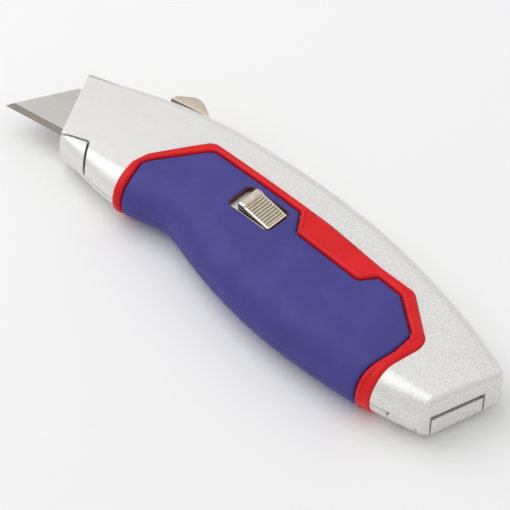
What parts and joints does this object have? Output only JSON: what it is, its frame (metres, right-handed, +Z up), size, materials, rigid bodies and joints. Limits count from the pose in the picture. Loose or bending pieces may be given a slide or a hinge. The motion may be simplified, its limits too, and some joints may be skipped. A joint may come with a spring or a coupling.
{
  "type": "utility knife",
  "caption": "Retractable utility knife with a thumb slider on the spine, soft two-colour grip panels and a body that swings open on a pin at the butt.",
  "frame": {"origin": "centre of the bounding box's bottom face, on the surface the knife lies on", "axes": "+X from the blade's tip to the butt, +Y towards the spine, +Z up, out of the side with the release button"},
  "size_m": [0.1842, 0.0666, 0.0206],
  "materials": {
    "silver_paint": "fine metallic silver paint, satin",
    "grip_rubber": "matte blue rubber",
    "trim_rubber": "smooth red rubber",
    "blade_steel": "ground tool steel",
    "spring_steel": "plain spring steel",
    "carrier_zinc": "as-cast zinc alloy",
    "slider_nickel": "warm satin nickel plate",
    "button_nickel": "warm bright nickel plate",
    "liner_plastic": "dark red plastic",
    "magnet": "dark sintered magnet"
  },
  "bodies": {
    "base": {"base_casing": "silver_paint", "base_grip": "grip_rubber", "base_trim": "trim_rubber", "hinge_pin": "spring_steel", "detent_rail": "spring_steel", "rail_rivet_1": "spring_steel", "rail_rivet_2": "spring_steel", "catch_plate": "spring_steel", "catch_screw": "spring_steel", "spare_blade_1": "blade_steel", "spare_blade_2": "blade_steel", "spare_blade_3": "blade_steel", "spare_clip": "spring_steel", "clip_screw": "spring_steel"},
    "cover": {"cover_casing": "silver_paint", "cover_grip": "grip_rubber", "cover_trim": "trim_rubber", "window_liner": "liner_plastic", "window_tray": "silver_paint", "latch_guide": "spring_steel", "guide_rivet_1": "spring_steel", "guide_rivet_2": "spring_steel", "guide_rivet_3": "spring_steel", "guide_rivet_4": "spring_steel", "nose_spring": "spring_steel", "nose_spring_rivet": "spring_steel"},
    "carriage": {"blade_carrier": "carrier_zinc", "blade": "blade_steel", "locator_pin_front": "spring_steel", "locator_pin_rear": "spring_steel", "carrier_magnet": "magnet"},
    "thumb": {"thumb_slider": "slider_nickel", "thumb_spring": "spring_steel"},
    "release": {"release_button": "button_nickel", "latch_plate": "spring_steel", "latch_cap": "spring_steel", "release_spring": "spring_steel"}
  },
  "joints": [
    {"name": "cover_hinge", "type": "hinge", "parent": "base", "child": "cover", "pos_m": [0.08007, -0.02836, 0.0058], "axis": [0.4362, 0.8999, 0], "range_deg": [0, 70]},
    {"name": "blade_slide", "type": "slide", "parent": "base", "child": "carriage", "axis": [1, 0, 0], "range_m": [0, 0.026]},
    {"name": "thumb_press", "type": "slide", "parent": "carriage", "child": "thumb", "axis": [0, -1, 0], "range_m": [0, 0.0008], "stiffness_N_per_m": 1500, "springref_m": -0.002, "deforming": ["thumb_spring"]},
    {"name": "release_slide", "type": "slide", "parent": "cover", "child": "release", "axis": [-0.9895, 0.1444, 0], "range_m": [0, 0.0026], "stiffness_N_per_m": 400, "springref_m": -0.005, "deforming": ["release_spring"]}
  ]
}
